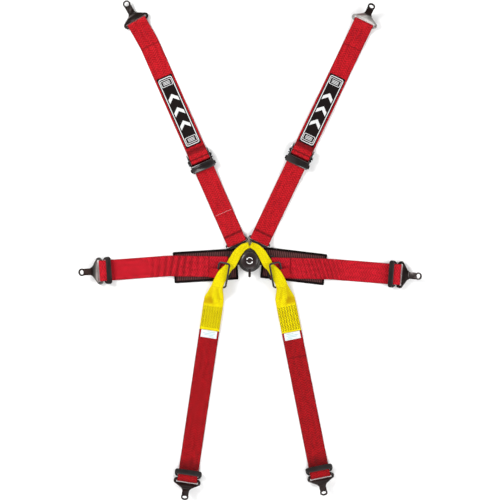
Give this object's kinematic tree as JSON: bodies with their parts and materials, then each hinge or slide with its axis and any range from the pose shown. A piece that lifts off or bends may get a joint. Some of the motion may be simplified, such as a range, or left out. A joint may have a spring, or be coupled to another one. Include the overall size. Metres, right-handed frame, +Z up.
{
  "type": "racing harness",
  "caption": "Racing harness laid flat: shoulder, lap and crotch straps meet at a rotary cam-lock buckle, with leg loops, lap pads, strap adjusters and bolt-in anchor plates.",
  "frame": {"origin": "middle of the outline on the ground, a little above the buckle when seen from above", "axes": "+Y along the harness toward the shoulder anchors, +X toward the right-hand lap strap as seen from above, +Z up out of the dial"},
  "size_m": [0.8562, 1.2458, 0.0474],
  "materials": {
    "buckle_black": "satin black",
    "dial_black": "satin",
    "gunmetal": "dark polished nickel",
    "steel": "bright zinc",
    "black_steel": "semi-gloss black",
    "adjuster_black": "gloss black",
    "red_webbing": "woven polyester",
    "yellow_webbing": "woven polyester",
    "label_cloth": "woven label",
    "pad_cloth": "ribbed cloth"
  },
  "bodies": {
    "buckle": {"buckle_housing": "buckle_black", "buckle_back_plate": "gunmetal", "buckle_screws": "steel", "tongue_guide": "steel", "latch_spring_left": "steel", "latch_spring_right": "steel", "latch_spring_lap": "steel", "return_spring": "steel", "dial_screw": "steel", "leg_loops_upper": "yellow_webbing", "lap_tongue_left": "steel", "lap_pad_left": "pad_cloth", "lap_strap_inner_left": "red_webbing", "ring_keeper_left": "red_webbing", "leg_loop_lower_left": "yellow_webbing"},
    "dial": {"release_dial": "dial_black", "release_cam": "steel"},
    "lap_right": {"lap_tongue_right": "steel", "lap_pad_right": "pad_cloth", "lap_strap_inner_right": "red_webbing", "ring_keeper_right": "red_webbing", "leg_loop_lower_right": "yellow_webbing"},
    "shoulder_left_end": {"shoulder_tongue_left": "steel", "shoulder_strap_end_left": "red_webbing"},
    "shoulder_left_lower": {"lower_shoulder_strap_left": "red_webbing"},
    "adjuster_left": {"adjuster_frame_left": "black_steel", "adjuster_cover_left": "adjuster_black", "adjuster_webbing_left": "red_webbing"},
    "roller_left": {"adjuster_roller_left": "steel"},
    "shoulder_left_upper": {"upper_shoulder_strap_left": "red_webbing", "shoulder_label_left": "label_cloth"},
    "tail_left": {"shoulder_strap_tail_left": "red_webbing"},
    "shoulder_left_anchor": {"shoulder_anchor_left": "gunmetal"},
    "lap_left_outer": {"lap_strap_outer_left": "red_webbing", "lap_slide_left": "black_steel"},
    "lap_left_anchor": {"lap_anchor_left": "gunmetal"},
    "ring_left": {"leg_ring_left": "black_steel"},
    "crotch_left": {"leg_loop_sewn_left": "yellow_webbing", "crotch_strap_left": "red_webbing", "crotch_slide_left": "black_steel"},
    "crotch_left_anchor": {"crotch_anchor_left": "gunmetal"},
    "shoulder_right_end": {"shoulder_tongue_right": "steel", "shoulder_strap_end_right": "red_webbing"},
    "shoulder_right_lower": {"lower_shoulder_strap_right": "red_webbing"},
    "adjuster_right": {"adjuster_frame_right": "black_steel", "adjuster_cover_right": "adjuster_black", "adjuster_webbing_right": "red_webbing"},
    "roller_right": {"adjuster_roller_right": "steel"},
    "shoulder_right_upper": {"upper_shoulder_strap_right": "red_webbing", "shoulder_label_right": "label_cloth"},
    "tail_right": {"shoulder_strap_tail_right": "red_webbing"},
    "shoulder_right_anchor": {"shoulder_anchor_right": "gunmetal"},
    "lap_right_outer": {"lap_strap_outer_right": "red_webbing", "lap_slide_right": "black_steel"},
    "lap_right_anchor": {"lap_anchor_right": "gunmetal"},
    "ring_right": {"leg_ring_right": "black_steel"},
    "crotch_right": {"leg_loop_sewn_right": "yellow_webbing", "crotch_strap_right": "red_webbing", "crotch_slide_right": "black_steel"},
    "crotch_right_anchor": {"crotch_anchor_right": "gunmetal"}
  },
  "joints": [
    {"name": "dial_turn", "type": "hinge", "parent": "buckle", "child": "dial", "pos_m": [-0.00136, -0.02729, 0.016], "axis": [0, 0, 1], "range_deg": [-30, 30], "stiffness_Nm_per_rad": 0.05},
    {"name": "lap_release", "type": "slide", "parent": "buckle", "child": "lap_right", "axis": [0.9997, -0.0227, 0], "range_m": [0, 0.04], "deforming": ["latch_spring_lap"]},
    {"name": "shoulder_left_release", "type": "slide", "parent": "buckle", "child": "shoulder_left_end", "axis": [-0.4019, 0.9157, 0], "range_m": [0, 0.04], "deforming": ["latch_spring_left"]},
    {"name": "shoulder_left_fold", "type": "hinge", "parent": "shoulder_left_end", "child": "shoulder_left_lower", "pos_m": [-0.04423, 0.04126, 0.00285], "axis": [0.9157, 0.4019, 0], "range_deg": [-80, 80]},
    {"name": "adjuster_left_tip", "type": "hinge", "parent": "shoulder_left_lower", "child": "adjuster_left", "pos_m": [-0.11819, 0.20974, 0.0076], "axis": [0.9157, 0.4019, 0], "range_deg": [0, 12]},
    {"name": "roller_left_slide", "type": "slide", "parent": "adjuster_left", "child": "roller_left", "axis": [-0.4019, 0.9157, 0], "range_m": [0, 0.0018], "stiffness_N_per_m": 60},
    {"name": "shoulder_left_adjust", "type": "slide", "parent": "adjuster_left", "child": "shoulder_left_upper", "axis": [-0.4019, 0.9157, 0], "range_m": [0, 0.035]},
    {"name": "tail_left_pull", "type": "slide", "parent": "adjuster_left", "child": "tail_left", "axis": [-0.4019, 0.9157, 0], "range_m": [-0.035, 0]},
    {"name": "shoulder_left_anchor_turn", "type": "hinge", "parent": "shoulder_left_upper", "child": "shoulder_left_anchor", "pos_m": [-0.28235, 0.5676, 0.006], "axis": [0.8686, 0.4955, 0], "range_deg": [-60, 60]},
    {"name": "lap_left_fold", "type": "hinge", "parent": "buckle", "child": "lap_left_outer", "pos_m": [-0.20133, -0.0404, 0.0042], "axis": [-0.0732, 0.9973, 0], "range_deg": [-80, 80]},
    {"name": "lap_left_anchor_turn", "type": "hinge", "parent": "lap_left_outer", "child": "lap_left_anchor", "pos_m": [-0.37137, -0.05289, 0.006], "axis": [-0.0732, 0.9973, 0], "range_deg": [-60, 60]},
    {"name": "ring_left_swing", "type": "hinge", "parent": "buckle", "child": "ring_left", "pos_m": [-0.08226, -0.06019, 0.0115], "axis": [-0.182, -0.9819, -0.0523], "range_deg": [-3, 25], "deforming": ["leg_loop_lower_left"]},
    {"name": "crotch_left_fold", "type": "hinge", "parent": "buckle", "child": "crotch_left", "pos_m": [-0.09136, -0.13079, 0.0024], "axis": [-0.9893, 0.1461, 0], "range_deg": [-80, 80]},
    {"name": "crotch_left_anchor_turn", "type": "hinge", "parent": "crotch_left", "child": "crotch_left_anchor", "pos_m": [-0.15695, -0.57497, 0.006], "axis": [-0.9893, 0.1461, 0], "range_deg": [-60, 60]},
    {"name": "shoulder_right_release", "type": "slide", "parent": "buckle", "child": "shoulder_right_end", "axis": [0.4305, 0.9026, 0], "range_m": [0, 0.04], "deforming": ["latch_spring_right"]},
    {"name": "shoulder_right_fold", "type": "hinge", "parent": "shoulder_right_end", "child": "shoulder_right_lower", "pos_m": [0.03435, 0.04431, 0.00285], "axis": [0.9026, -0.4305, 0], "range_deg": [-80, 80]},
    {"name": "adjuster_right_tip", "type": "hinge", "parent": "shoulder_right_lower", "child": "adjuster_right", "pos_m": [0.11872, 0.22122, 0.0076], "axis": [0.9026, -0.4305, 0], "range_deg": [0, 12]},
    {"name": "roller_right_slide", "type": "slide", "parent": "adjuster_right", "child": "roller_right", "axis": [0.4305, 0.9026, 0], "range_m": [0, 0.0018], "stiffness_N_per_m": 60},
    {"name": "shoulder_right_adjust", "type": "slide", "parent": "adjuster_right", "child": "shoulder_right_upper", "axis": [0.4305, 0.9026, 0], "range_m": [0, 0.035]},
    {"name": "tail_right_pull", "type": "slide", "parent": "adjuster_right", "child": "tail_right", "axis": [0.4305, 0.9026, 0], "range_m": [-0.035, 0]},
    {"name": "shoulder_right_anchor_turn", "type": "hinge", "parent": "shoulder_right_upper", "child": "shoulder_right_anchor", "pos_m": [0.28318, 0.56601, 0.006], "axis": [0.9026, -0.4305, 0], "range_deg": [-60, 60]},
    {"name": "lap_right_fold", "type": "hinge", "parent": "lap_right", "child": "lap_right_outer", "pos_m": [0.19859, -0.04843, 0.0042], "axis": [-0.0793, -0.9968, 0], "range_deg": [-80, 80]},
    {"name": "lap_right_anchor_turn", "type": "hinge", "parent": "lap_right_outer", "child": "lap_right_anchor", "pos_m": [0.37055, -0.06211, 0.006], "axis": [-0.0793, -0.9968, 0], "range_deg": [-60, 60]},
    {"name": "ring_right_swing", "type": "hinge", "parent": "lap_right", "child": "ring_right", "pos_m": [0.07954, -0.06019, 0.0115], "axis": [-0.182, 0.9819, 0.0523], "range_deg": [-3, 25], "deforming": ["leg_loop_lower_right"]},
    {"name": "crotch_right_fold", "type": "hinge", "parent": "lap_right", "child": "crotch_right", "pos_m": [0.08864, -0.13079, 0.0024], "axis": [-0.9806, -0.1959, 0], "range_deg": [-80, 80]},
    {"name": "crotch_right_anchor_turn", "type": "hinge", "parent": "crotch_right", "child": "crotch_right_anchor", "pos_m": [0.17525, -0.56422, 0.006], "axis": [-0.9806, -0.1959, 0], "range_deg": [-60, 60]}
  ],
  "couplings": [
    {"joint": "tail_left_pull", "follows": "shoulder_left_adjust", "ratio": -1},
    {"joint": "tail_right_pull", "follows": "shoulder_right_adjust", "ratio": -1}
  ]
}
